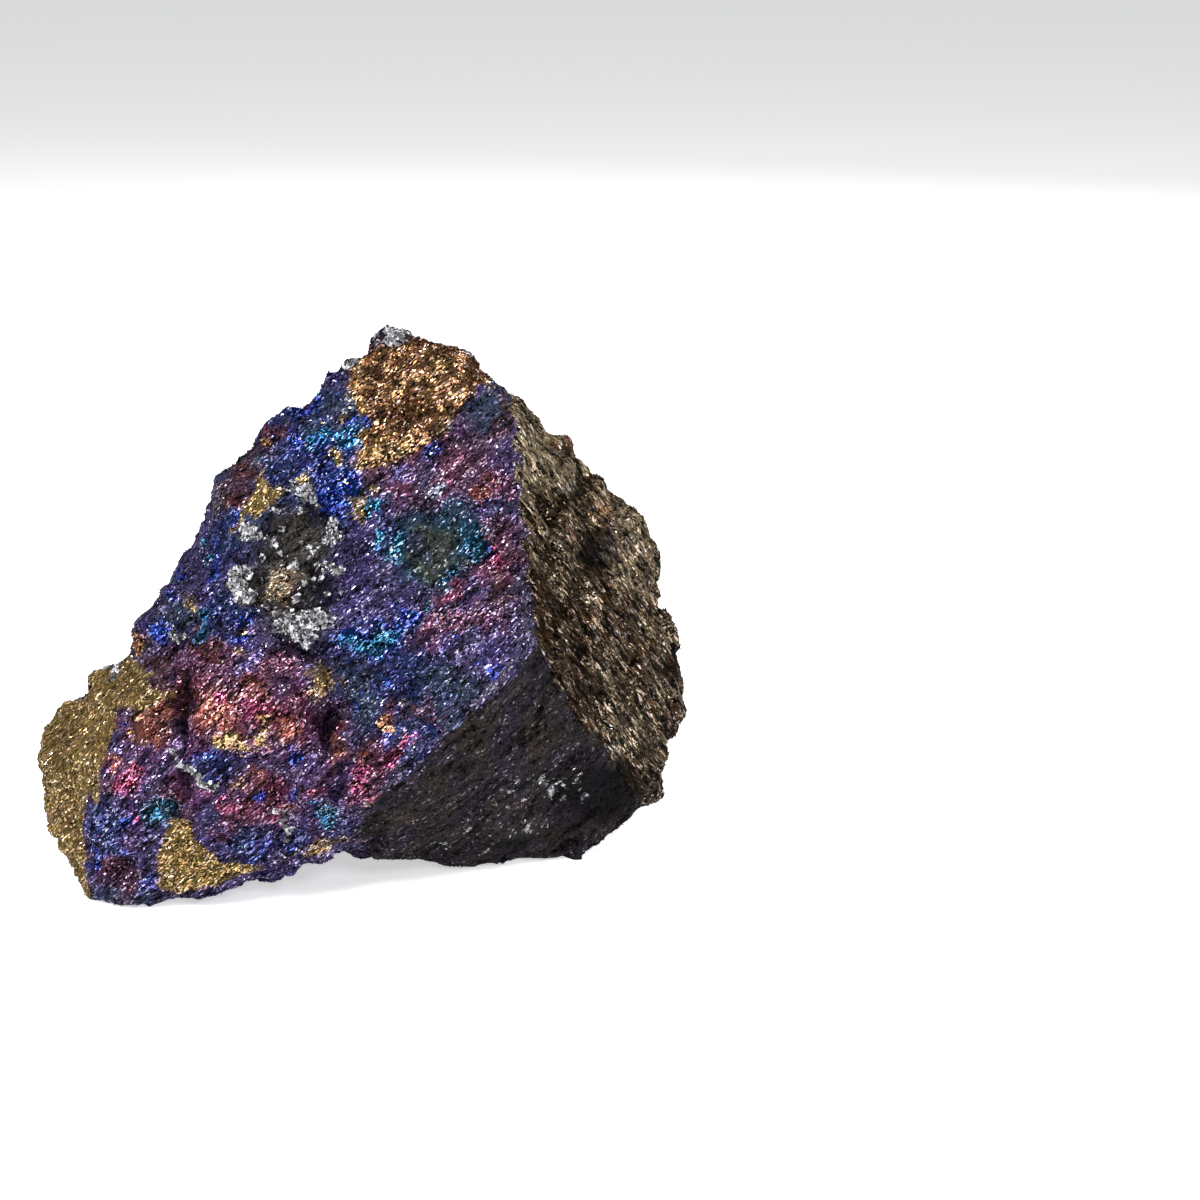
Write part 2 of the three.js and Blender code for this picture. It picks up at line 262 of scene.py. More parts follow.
def cell_tilt(place, lay, size, stretch):
    """The height of a facet that is flat within its cell. Cells are longer along the lay."""
    squeezed = (place - lay * (place.dot(lay) * (1 - 1 / stretch))) / size
    seed = noise.voronoi(squeezed)[1][0]
    tilt = noise.cell_vector(seed * SEED_SPREAD) - Vector((0.5, 0.5, 0.5))
    return 2 * size * tilt.dot(squeezed - seed)


def streak(place, lay, width, length):
    """Sharp ridges along the lay, with round valleys between: 0.5 on a ridge, and down to about -0.5."""
    return 0.5 - 2 * abs(noise.noise((place - lay * (place.dot(lay) * (1 - width / length))) / width))


ore = bmesh.new()
ore.from_mesh(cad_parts["peacock_ore"].data)
bmesh.ops.remove_doubles(ore, verts=ore.verts, dist=WELD_GAP * MM)
bmesh.ops.subdivide_edges(ore, edges=ore.edges, cuts=CUTS, use_grid_fill=True)
for _ in range(ROUNDING_PASSES):
    bmesh.ops.smooth_vert(ore, verts=ore.verts, factor=0.5, use_axis_x=True, use_axis_y=True, use_axis_z=True)
ore.normal_update()

# Which way each large face looks, without its small relief.
facing_shape = ore.copy()
for _ in range(FACING_PASSES):
    bmesh.ops.smooth_vert(
        facing_shape, verts=facing_shape.verts, factor=0.5, use_axis_x=True, use_axis_y=True, use_axis_z=True)
facing_shape.normal_update()
facing = np.array([vertex.normal[:] for vertex in facing_shape.verts])
facing_shape.free()

smooth_places = np.array([vertex.co[:] for vertex in ore.verts]) / MM
front_share, side_share, under_share = regions(smooth_places, facing)
crack_depth = np.zeros(len(smooth_places))
for width, depth, line in CRACKS:
    gap = gap_to(line, smooth_places[:, 0], smooth_places[:, 2])
    cracked = depth * (1 - smoothstep(gap, CRACK_FLOOR * width, width)) * front_share
    crack_depth = np.maximum(crack_depth, cracked)

for vertex, cracked, side, under in zip(ore.verts, crack_depth, side_share, under_share):
    place = vertex.co / MM
    if place.z < BASE_HEIGHT:
        continue
    lay = LAY_DOWN_SIDE if side > 0.5 else LAY_ACROSS_FRONT
    share = 1 - (1 - OVERHANG_SHARE) * under - (1 - SIDE_SHARE) * side
    height = share * GRAIN_SLOPE * cell_tilt(place, lay, GRAIN_SIZE, GRAIN_STRETCH)
    height += share * CHIP_SLOPE * cell_tilt(place, lay, CHIP_SIZE, CHIP_STRETCH)
    height += PLATE_SLOPE * cell_tilt(place, lay, PLATE_SIZE, PLATE_STRETCH)
    height += STREAK_HEIGHT * (1 - side) * (1 - under) * streak(place, lay, STREAK_WIDTH, STREAK_LENGTH)
    height += LAYER_HEIGHT * side * streak(place, lay, LAYER_WIDTH, LAYER_LENGTH)
    vertex.co += vertex.normal * ((height - cracked) * MM)
    vertex.co.z = max(vertex.co.z, 0)

# ---- The tarnish ----
# A thin film of copper and iron oxides over the broken ore. Its thickness sets its colour, from bare brass
# through copper, rose, violet, blue and cyan to dull slate and moss green. It lies in patches with ragged
# edges.

BRASS, GOLD, BRONZE, COPPER = "#e4c080", "#e8b07e", "#b8803e", "#e08a7a"
ROSE, PLUM, MAROON, VIOLET = "#e8709c", "#b07494", "#a85c7c", "#8c7cc0"
LILAC, INDIGO, BLUE, CYAN, TEAL = "#a496b8", "#5c68bc", "#2c6cf8", "#48bcf8", "#3088b0"
SLATE, MOSS, MIST = "#6c7ea4", "#727c74", "#c0c0d8"
UMBER, STRAW, SAND, KHAKI, RUST = "#806242", "#d4bc9a", "#d8c2a2", "#e2c084", "#a06842"
UNDERSIDE_IN_SHADE, DUSKY_UNDERSIDE_IN_SHADE, SMOKE = "#8c8284", "#867a92", "#76706c"

# The share of its light that each film gives back where it is dull. Blue and cyan give back the least.
KEPT = {
    BRASS: 0.12, GOLD: 0.09, BRONZE: 0.1, COPPER: 0.18, ROSE: 0.09, PLUM: 0.165, MAROON: 0.21,
    VIOLET: 0.165, LILAC: 0.14, INDIGO: 0.16, BLUE: 0.065, CYAN: 0.04, TEAL: 0.07, SLATE: 0.185,
    MOSS: 0.2, MIST: 0.3, UMBER: 0.14, STRAW: 0.11, SAND: 0.28, KHAKI: 0.135, RUST: 0.13, UNDERSIDE_IN_SHADE: 0.08,
    DUSKY_UNDERSIDE_IN_SHADE: 0.08, SMOKE: 0.34,
}

# Patches, each over those before it: the place across and up, the reach along and across, the angle that it
# rises at, the colour and how vivid it is.
PATCHES = [
    # the broad face as a whole, from its left edge to the ridge on its right
    (-9, 45, 9, 16, 60, SLATE, 0.3), (-2, 47, 9, 9, 0, INDIGO, 0.45),
    (9, 47, 11, 4.5, 20, PLUM, 0.35), (3, 36, 6, 8, 0, VIOLET, 0.4),
    (15, 38, 4.5, 8, 80, PLUM, 0.4), (12, 29, 10, 6.5, 10, VIOLET, 0.5),
    (5, 24, 9, 5, 15, INDIGO, 0.4), (16, 53, 3.5, 2.2, 30, SLATE, 0.2),
    (2, 17, 4, 5, 60, PLUM, 0.55),
    # around the brassy cap
    (-0.5, 51.7, 2.8, 1.8, 0, SLATE, 0.3), (-4.5, 53.5, 1.3, 1.8, 0, CYAN, 1.0),
    (-5, 51.5, 1.2, 1, 0, BLUE, 1.0), (-3, 49.8, 2.5, 1.2, 0, SLATE, 0.3),
    (-1.2, 48.8, 3.4, 0.9, 8, CYAN, 0.8), (2.2, 50.7, 0.8, 0.7, 0, BLUE, 1.0),
    (0.3, 50.5, 0.7, 0.5, 0, BLUE, 1.0), (-1.2, 45.2, 3, 3.6, 0, BLUE, 0.45),
    (-1.4, 42.2, 1.8, 1.8, 0, BLUE, 0.6), (-3.4, 46, 1, 2, 0, INDIGO, 0.8),
    (1.4, 43.7, 0.8, 0.7, 0, CYAN, 1.0), (4.7, 43.3, 0.5, 0.5, 0, CYAN, 1.0),
    (2.9, 42, 0.9, 0.5, 0, CYAN, 0.9), (-5.7, 48.5, 0.8, 0.8, 0, BLUE, 0.9),
    (-8, 49, 1.8, 1.1, 0, MAROON, 0.35), (-9.8, 46.3, 0.8, 0.4, 60, CYAN, 0.8),
    (-11.5, 43.5, 2.6, 2.2, 60, MAROON, 0.35), (-11.8, 41, 0.7, 0.6, 0, BLUE, 0.8),
    (-12.5, 40, 0.6, 0.5, 0, BLUE, 0.9), (-14, 38, 3, 2, 45, INDIGO, 0.4),
    (-16.5, 35.5, 0.6, 0.5, 0, CYAN, 0.9), (-14.5, 35.3, 0.7, 0.6, 0, BLUE, 0.8),
    (16.5, 54.5, 0.9, 0.5, 0, CYAN, 0.6),
    # the plum and rose band below the cap
    (9, 48, 1.2, 1.0, 20, BLUE, 0.8), (6, 46, 1.5, 0.8, 20, VIOLET, 0.8),
    (11, 46.5, 3, 1.4, 25, PLUM, 0.45), (16.8, 45, 1.4, 2.2, 80, PLUM, 0.75),
    (16.2, 39, 3, 1.6, 90, PLUM, 0.6), (16.7, 37.3, 0.8, 1.3, 0, ROSE, 0.8),
    (13.3, 42.5, 0.5, 0.9, 0, BLUE, 0.9), (12.5, 41, 2.6, 2.2, 30, TEAL, 0.35),
    (14.3, 39.5, 1.5, 2, 0, TEAL, 0.45), (13.4, 39.4, 0.5, 0.6, 0, CYAN, 0.9),
    (13.5, 38.2, 0.4, 0.5, 0, CYAN, 0.9), (15.8, 38, 0.5, 0.6, 0, BLUE, 0.9),
    (9.3, 38.6, 4.6, 4.2, 0, TEAL, 0.3), (9.5, 38.3, 3.6, 3.6, 0, MOSS, 0.3),
    (5.6, 38.6, 0.8, 2.4, 0, TEAL, 0.7), (3.8, 39.8, 0.7, 1.4, 0, CYAN, 0.8),
    (3, 42, 0.6, 0.5, 0, CYAN, 0.8), (11.6, 35.8, 1.6, 0.9, 45, TEAL, 0.6),
    (11.3, 34.8, 0.8, 0.4, 55, CYAN, 0.9), (9.1, 32.4, 1.0, 0.6, 45, CYAN, 1.0),
    (6.8, 31.3, 0.9, 1.4, 0, BLUE, 0.9), (5.5, 33, 1.1, 0.6, 20, BLUE, 0.8),
    (9.3, 33.3, 0.5, 0.5, 0, CYAN, 0.9), (1, 38, 1.2, 3.2, 0, VIOLET, 0.3),
    (3, 34, 3.3, 2.6, 0, VIOLET, 0.4), (15, 33.7, 1.2, 1.1, 0, VIOLET, 0.7),
    (11.5, 34, 2.4, 1.1, 40, MAROON, 0.45), (12.5, 30.5, 5.5, 2.4, 15, PLUM, 0.6),
    (12, 30.3, 0.5, 0.4, 0, BLUE, 0.9), (14.5, 30.7, 0.5, 0.4, 0, BLUE, 0.9),
    # the lower half of the broad face
    (3.6, 29.7, 4.6, 2.0, 15, BLUE, 0.6), (3.4, 29.4, 3.6, 1.1, 12, CYAN, 0.7),
    (2, 24, 2.2, 4.3, 0, SLATE, 0.35), (5, 25.3, 0.5, 0.5, 0, BLUE, 0.9),
    (1.2, 23, 0.5, 0.6, 0, BLUE, 0.9), (5, 20.5, 0.6, 0.5, 0, BLUE, 0.9),
    (7.9, 20, 0.6, 0.4, 0, BLUE, 0.9), (15.3, 25.3, 0.6, 0.5, 0, BLUE, 0.9),
    (14, 28.5, 5, 2.4, 10, VIOLET, 0.5), (10, 21, 2.6, 1.8, 20, INDIGO, 0.35),
    (16.2, 27, 0.6, 0.9, 0, BLUE, 1.1), (11.5, 24.9, 3.5, 2.5, 10, SLATE, 0.45),
    (8.4, 23, 2, 1.0, 10, PLUM, 0.5), (12.5, 22, 2, 2, 30, SLATE, 0.3),
    (2, 15.7, 1.6, 2.4, 0, ROSE, 1.1), (2, 18.3, 1.2, 0.9, 0, COPPER, 0.7),
    (6.1, 18.4, 2.6, 0.7, 38, ROSE, 0.9), (7.8, 17.2, 2.8, 1.1, 32, INDIGO, 0.7),
    (5.3, 16, 0.6, 0.5, 0, BLUE, 1.1), (-0.1, 16, 1.0, 2.1, 0, INDIGO, 0.35),
    (5.2, 21.9, 0.8, 1.2, 0, COPPER, 0.4),
    # left of the pocket, and the top of the foot
    (-14, 30.5, 6, 2.6, 25, INDIGO, 0.5), (-19, 29.5, 3.4, 2.2, 30, SLATE, 0.35),
    (-10, 30.9, 2.4, 0.8, 40, BLUE, 1.2), (-19, 32, 0.6, 0.6, 0, BLUE, 0.9),
    (-15.6, 30.2, 1.6, 0.6, -60, CYAN, 0.9), (-20.7, 28.7, 1.5, 1.4, 0, BLUE, 0.6),
    (-20, 25.2, 3.2, 1.4, 0, SLATE, 0.2), (-21, 26, 0.6, 0.6, 0, VIOLET, 0.9),
    (-14.5, 28.2, 2.4, 1.0, 0, PLUM, 0.25),
    # the foot: copper and rose above, violet and blue below
    (-12, 22, 12, 7, 0, MAROON, 0.65), (-15, 12, 16, 8, 10, VIOLET, 0.45),
    (-16, 15, 6, 3, 60, MAROON, 0.4), (-8, 13.5, 5.5, 3.5, 30, MAROON, 0.55),
    (-20.3, 21.5, 3.5, 2.2, 20, GOLD, 0.5), (-10.5, 23.8, 6, 2.8, 5, COPPER, 0.6),
    (-9.6, 27.5, 2, 0.7, 35, VIOLET, 1.1), (-13.2, 26, 2.5, 1.1, 0, PLUM, 1.0),
    (-13.2, 23, 2.7, 2.4, 0, COPPER, 0.8), (-12.2, 24.5, 0.9, 0.8, 0, ROSE, 1.1),
    (-9, 25, 1.4, 1.0, 0, COPPER, 0.8), (-8.7, 23.5, 2, 1.5, 0, ROSE, 0.6),
    (-6.7, 27, 2.5, 1.2, 0, PLUM, 0.6), (-5.4, 24.3, 1.6, 2, 0, MAROON, 0.55),
    (-4.8, 21.3, 1.2, 1.7, 0, COPPER, 0.7), (-20, 21, 2.2, 1.6, 20, COPPER, 0.5),
    (-17, 22.5, 1.2, 3.4, 0, MAROON, 0.15), (-24.5, 18.3, 0.9, 0.9, 0, VIOLET, 0.7),
    (-24, 20, 1.2, 1, 0, PLUM, 0.5), (-23.7, 20, 0.4, 0.4, 0, BLUE, 0.9),
    (-24.7, 15.2, 1.5, 1.4, 0, MAROON, 0.3), (-22.2, 15.4, 2.4, 1.0, 48, ROSE, 1.2),
    (-19.2, 12.1, 2.5, 2.3, 0, TEAL, 0.6), (-19.2, 11.3, 0.9, 0.6, 0, CYAN, 1.1),
    (-23, 10.5, 0.9, 0.9, 0, BLUE, 1.0), (-22, 11.5, 0.5, 0.4, 0, ROSE, 1.0),
    (-22, 10.5, 0.4, 0.4, 0, ROSE, 1.0), (-25.7, 8.7, 2.5, 4, 0, INDIGO, 0.7),
    (-27.5, 4.5, 0.9, 0.9, 0, BLUE, 1.0), (-23.5, 7.3, 0.9, 0.8, 0, BLUE, 0.9),
    (-28.2, 8.7, 0.5, 0.7, 0, ROSE, 0.9), (-24.5, 4, 2.7, 2.1, 0, PLUM, 0.5),
    (-24, 1, 5, 1.3, 0, SLATE, 0.3), (-21.5, 3, 0.9, 1.2, 0, INDIGO, 0.8),
    (-13.7, 17.5, 2.5, 2.3, 0, INDIGO, 0.5), (-9.1, 15.8, 1.2, 1.9, 0, COPPER, 0.6),
    (-8.4, 13.7, 0.5, 0.5, 0, BLUE, 1.0), (-4.9, 14.2, 0.8, 0.5, 40, BLUE, 1.0),
    (-4.5, 18.2, 0.9, 0.8, 0, BLUE, 1.0), (-12, 13.3, 1.2, 0.6, 0, ROSE, 0.8),
    (-9.7, 8.9, 3, 2.6, 0, INDIGO, 0.55), (-8.5, 8, 0.6, 0.5, 0, BLUE, 1.0),
    (-9.7, 6.5, 0.6, 0.5, 0, BLUE, 1.0), (-13.7, 9.7, 1.4, 1.4, 0, MAROON, 0.6),
    (-5, 8.7, 1.6, 2.4, 0, INDIGO, 0.6), (-4.5, 7, 0.7, 0.6, 0, BLUE, 1.0),
    (-2.2, 14.7, 1.0, 0.8, 0, ROSE, 0.8), (-1.6, 12, 1.1, 1.8, 0, TEAL, 0.7),
    (-1.6, 11, 0.9, 0.9, 0, CYAN, 1.0),
    # the paler lilac edge over the overhang
    (14.8, 24.4, 7.5, 0.9, 41, LILAC, 0.35), (5, 15.2, 4.5, 0.8, 42, LILAC, 0.35),
    (19.4, 33, 4, 1.0, 95, LILAC, 0.45),
    # small brassy and coppery grains
    (-0.2, 51.3, 0.6, 0.5, 0, BRASS, 0.8), (-1, 47.2, 0.9, 0.8, 0, BRASS, 1.0),
    (3.3, 44, 0.6, 0.7, 0, BRASS, 0.8), (-4.5, 45, 1.0, 0.8, 0, BRASS, 0.8),
    (-8.5, 48, 0.6, 0.5, 0, BRONZE, 0.9), (-6.6, 49.7, 0.5, 0.5, 0, BRONZE, 0.9),
    (1.4, 42, 1.1, 1.3, 0, BRASS, 0.55), (14.8, 44.4, 1.5, 1.1, 30, COPPER, 0.7),
    (-17.3, 31.3, 0.7, 1.0, 0, BRASS, 0.7), (-23, 26.5, 1.0, 0.8, 0, BRONZE, 0.9),
    (-11, 28.5, 0.7, 0.5, 0, BRASS, 0.8), (-2, 25.3, 1.9, 1.8, 0, BRASS, 0.8),
    (-7.8, 22.5, 0.7, 0.5, 0, BRASS, 1.0), (-23, 19, 1.0, 0.4, 0, BRONZE, 1.0),
    (-24.5, 16.8, 1.7, 0.6, 0, COPPER, 0.8), (-11.4, 20.1, 2.4, 0.8, 5, BRASS, 0.9),
    (-7.5, 21.2, 0.9, 0.7, 40, BRASS, 0.9), (-10.6, 15.8, 1.0, 1.0, 0, GOLD, 0.8),
    (-2.7, 7, 2.2, 0.9, 18, BRASS, 0.7), (-0.4, 8.2, 1.4, 0.7, 30, BRASS, 0.6),
    (-0.2, 19.5, 0.8, 2, 0, COPPER, 0.5), (5.0, 21.5, 0.9, 1.1, 0, GOLD, 1.0),
    (2.8, 13.2, 0.6, 0.6, 0, BRONZE, 1.0), (9.5, 44.2, 0.6, 0.9, -30, MIST, 1.0),
]

# The same on the layered side, which has weathered brown.
SIDE_PATCHES = [
    (17.5, 48, 9, 2.2, -80, SAND, 0.5), (21.5, 47, 8, 4.2, -60, SAND, 0.5),
    (25, 44, 2.4, 2.6, 0, SAND, 0.3), (23.4, 45.8, 1.0, 0.8, 0, UMBER, 0.2),
    (23.8, 46.9, 1.7, 0.45, -30, COPPER, 0.8), (31, 33, 7, 2.5, -65, SAND, 0.55),
    (28.2, 37.5, 2.6, 0.8, -65, BRONZE, 0.9), (22.5, 30, 6, 1.6, -70, UMBER, 0.4),
    (26, 20, 6, 2.5, -65, UMBER, 0.4), (30, 15, 5, 2, -65, STRAW, 0.6),
    (24.6, 41.8, 2.2, 1.9, 0, UMBER, 0.3), (23.8, 42.6, 1.2, 0.9, 0, SMOKE, 0.6),
    (27.3, 34.6, 2.4, 3, 0, UMBER, 0.3), (28.5, 34.4, 1.3, 1.7, 0, SMOKE, 0.6),
    (22.2, 36.7, 1.2, 2, 0, UMBER, 0.2),
]

# Brassy plates with sharp edges: the colour, how vivid, the share of gap cells painted dark as shade in
# them, and the places across and up that their outline runs through.
BRASSY_PLATES = [
    (GOLD, 0.68, 0.3, [
        (-0.2, 56.5), (1.5, 58), (3, 58.6), (9, 59.4), (12, 58.8), (14.5, 57.2), (16.2, 55.2), (14, 54.5),
        (12.8, 53.8), (12.5, 52.3), (10.5, 50), (8.3, 48.2), (6, 47.3), (4, 46.5), (1.7, 45.8), (1.5, 47),
        (2, 48.3), (1.2, 49.7), (3.2, 50.3), (3, 51.5), (2.2, 51.6), (0, 54),
    ]),
    (BRASS, 0.6, 0.1, [
        (-9.3, 45.4), (-8.3, 44), (-6.7, 43.9), (-6.7, 43), (-8.5, 42), (-9.7, 40.8), (-11, 41), (-12, 38.9),
        (-12.7, 39.2), (-11.3, 41.5), (-10.6, 43),
    ]),
    (BRASS, 0.75, 0.12, [
        (-18.3, 11), (-16, 11), (-16.3, 9), (-14.3, 7.5), (-13, 6.2), (-9.5, 5.3), (-9.2, 4.6), (-12, 4),
        (-17, 2), (-20, 2.7), (-20.2, 6), (-19.3, 8.5),
    ]),
    (KHAKI, 0.58, 0.03, [
        (-40, 24.6), (-27.5, 24.4), (-21, 24.6), (-18, 23.2), (-21.5, 22.2), (-25.2, 20.9), (-24.6, 19.3),
        (-25.5, 18), (-25.2, 17.3), (-26, 15.5), (-26, 12.8), (-28, 12), (-28.3, 11), (-29, 5.5),
        (-28.5, 3.7), (-27.5, -1), (-40, -1),
    ]),
]

# Over these lie brown weathering, paler brass and the grey rock of the pocket. The last number is the share.
OVER_PATCHES = [
    (7.5, 52.2, 3.0, 1.8, 30, RUST, 0.4, 0.7), (8, 58.7, 7, 0.9, 0, RUST, 0.35, 0.8),
    (14.6, 56.6, 2.0, 0.9, -40, RUST, 0.35, 0.8), (2.6, 52.9, 1.6, 0.9, 0, RUST, 0.4, 0.6),
    (3.8, 48, 3.6, 1.4, 26, BRASS, 0.9, 0.6), (0.9, 54.2, 1.3, 2, 0, BRASS, 0.9, 0.5),
    (15.6, 54.8, 1.2, 0.9, 0, BRASS, 0.9, 0.5), (10, 57, 1.4, 1.2, 0, BRASS, 0.8, 0.4),
    (10.9, 50.9, 0.9, 0.5, 30, MOSS, 0.5, 0.8), (17, 34.3, 1.1, 2, 0, RUST, 0.4, 0.6),
    (-20, 25, 3, 0.9, 0, RUST, 0.4, 0.5), (-14.5, 28.2, 2.2, 0.8, 0, RUST, 0.4, 0.5),
    (-5.9, 12.5, 1.6, 0.7, 0, RUST, 0.4, 0.5), (6.9, 23.5, 0.9, 0.9, 0, SMOKE, 0.5, 0.8),
    (17.2, 52, 1, 3, 0, RUST, 0.4, 0.5), (-5.6, 37.4, 4.3, 5.2, 0, SMOKE, 0.3, 1.0),
    (-9.4, 33.6, 3.6, 2.4, 0, SMOKE, 0.3, 1.0), (-4.6, 31, 4.2, 2.4, 5, SMOKE, 0.3, 1.0),
    (-6.8, 33.8, 1.9, 1.5, 30, STRAW, 1.0, 0.9), (-12.2, 44.5, 6.5, 2.2, 52, RUST, 0.35, 0.4),
]

# Places that hold milky quartz, and places painted dark as shade in hollows and gaps, each with its share.
MILKY_PATCHES = [
    (5, 59.9, 2.2, 1.4, 0, 0.75), (0, 57.2, 2.2, 0.9, 30, 0.55), (-3.4, 55.4, 1.4, 0.7, 40, 0.45),
    (-6.2, 10.6, 0.5, 1.8, 5, 0.5),
    # the pocket: white along its rim and below it, with specks all over
    (-4.6, 43.2, 1.7, 1.1, -20, 0.75), (-1.6, 39.3, 0.9, 1.4, 0, 0.75), (-0.8, 36.6, 0.7, 1.3, 0, 0.45),
    (-10.3, 39, 1.4, 1.2, 0, 0.55), (-11.2, 34, 1.7, 1.5, 0, 0.75), (-4.4, 30.8, 3.5, 1.7, 5, 0.75),
    (-6.7, 33.6, 2.1, 1.4, 30, 0.12), (-6, 36.5, 5.5, 6.8, 0, 0.06), (-1, 33.7, 1, 0.8, 0, 0.3),
    (-18.5, 27.7, 1.3, 0.35, 10, 0.7), (-26.5, 22.9, 1.1, 0.6, 0, 0.6),
    # specks on the overhang
    (21.8, 11.2, 0.7, 2.0, 15, 0.85), (22.6, 9.6, 1.3, 0.7, -20, 0.8), (24.8, 10.6, 0.8, 0.5, 40, 0.8),
    (25.6, 8.7, 1.0, 0.6, 40, 0.8), (15.2, 8.3, 1.1, 0.4, 30, 0.75), (18.8, 6, 0.8, 0.5, 20, 0.75),
    (10.7, 5, 0.7, 0.4, 0, 0.7), (18, 8, 9, 5, 30, 0.12),
]
QUARTZ_VEINS = [
    # width, and the places across and up that it runs through
    (0.16, [(-18, 19), (-17, 18), (-15.5, 16.5), (-14.5, 15.5), (-13, 14.5)]),
]
SHADE_AND_DARK_PATCHES = [
    # the pocket, painted dark as the shade in its hollow and between its crystals
    (-6.5, 38.5, 3.2, 2.8, 0, 0.25), (-2.8, 34.6, 1.9, 2.2, 0, 0.9), (-9.3, 34, 0.8, 2.1, 0, 0.85),
    (-3.2, 40.6, 1.1, 1.5, 0, 0.75), (-8.6, 40.6, 1.4, 0.8, 40, 0.5), (-5, 32.4, 3.4, 0.6, 0, 0.85),
    (-9, 36.8, 1.2, 1.0, 0, 0.7), (-11.8, 35.9, 0.9, 0.6, 0, 0.8), (-5.2, 35.8, 2.6, 0.7, 0, 0.6),
    (-4.6, 28.3, 3.8, 0.6, 5, 0.8),
    # painted shade in gaps and hollows elsewhere and under the overhang, and a darker spot on the pink lump
    (3.1, 51.6, 0.9, 0.8, 0, 0.95), (5.9, 23.6, 0.7, 0.9, 0, 0.9), (-16.9, 22.5, 1.1, 3.4, 0, 0.75),
    (-1.4, 20.6, 1.3, 1.9, 0, 0.7), (-13, 13.6, 1.2, 0.8, 0, 0.5), (-16.4, 15.4, 1.2, 1.6, 0, 0.55),
    (25.7, 41.3, 1.0, 1.7, 0, 0.75), (24.2, 41.2, 0.8, 0.7, 0, 0.6), (26.6, 34.6, 1.1, 2.1, 0, 0.85),
    (28.2, 32.9, 1.3, 1.0, 0, 0.6), (22, 36.3, 0.7, 1.5, 0, 0.7), (28, 8, 4, 7, 60, 0.85),
    (21, 4, 8, 1.6, 10, 0.4), (9.9, 50.5, 0.5, 0.6, 0, 0.8), (2, 16.5, 3, 3.4, 0, 0.35),
]

# Drifting zones on the rest of the stone, on the layered side and on the overhang: the colour, the size of
# the zones, where their drift starts, from where to where they fade in, their share and how vivid they are.
REST_ZONES = [
    (STRAW, 9, 51, 0.0, 0.4, 0.6, 0.4), (BRONZE, 6, 57, 0.0, 0.4, 0.6, 0.4),
    (SLATE, 8, 59, 0.0, 0.4, 0.6, 0.4), (PLUM, 9, 53, 0.0, 0.4, 0.6, 0.4),
    (VIOLET, 6, 55, 0.0, 0.4, 0.6, 0.4),
]
SIDE_ZONES = [(STRAW, 4, 61, -0.25, 0.05, 0.9, 0.62), (RUST, 5, 67, 0.15, 0.3, 0.35, 0.45)]
UNDER_ZONES = [(DUSKY_UNDERSIDE_IN_SHADE, 4, 63, -0.1, 0.25, 1.0, 0.18), (UMBER, 5, 65, 0.0, 0.3, 0.3, 0.1)]

# The edges of plates and of patches wander: how far, over what distance, and where each drift starts.
PLATE_WANDER = [(0.6, 1.6, 3, 11)]
PATCH_WANDER = [(1.1, 2.2, 3, 11), (0.7, 0.9, 7, 17)]
# The foot, where the film also runs to maroon: it begins between these heights, left of this place across.
FOOT_HEIGHTS = (28, 24)
FOOT_RIGHT = 3

# Black for painted shade, white for painted highlights on glints, and quartz at its darkest and lightest.
SHADE_BLACK, HIGHLIGHT_WHITE, QUARTZ_SMOKY, QUARTZ_WHITE = [
    np.array(srgb(colour)[:3]) for colour in ("#060506", "#f4f0f6", "#161418", "#e6e6ec")]
AXIS_OF_HUES = np.full(3, 3 ** -0.5)
# How far the hues of the grains spread around that of their film, as an angle, and the share of the facets
# that glint where a film is at its most vivid.
HUE_TURN = 0.3
GLINT_SHARE = 0.5


def reach_share(patch, x, z):
    """How far each place lies within a patch, from 0 outside it to 1 well inside."""
    at_x, at_z, along, across, rise = patch
    turn = math.radians(rise)
    u = ((x - at_x) * math.cos(turn) + (z - at_z) * math.sin(turn)) / along
    v = ((z - at_z) * math.cos(turn) - (x - at_x) * math.sin(turn)) / across
    return 1 - smoothstep(np.hypot(u, v), 0.55, 1.25)


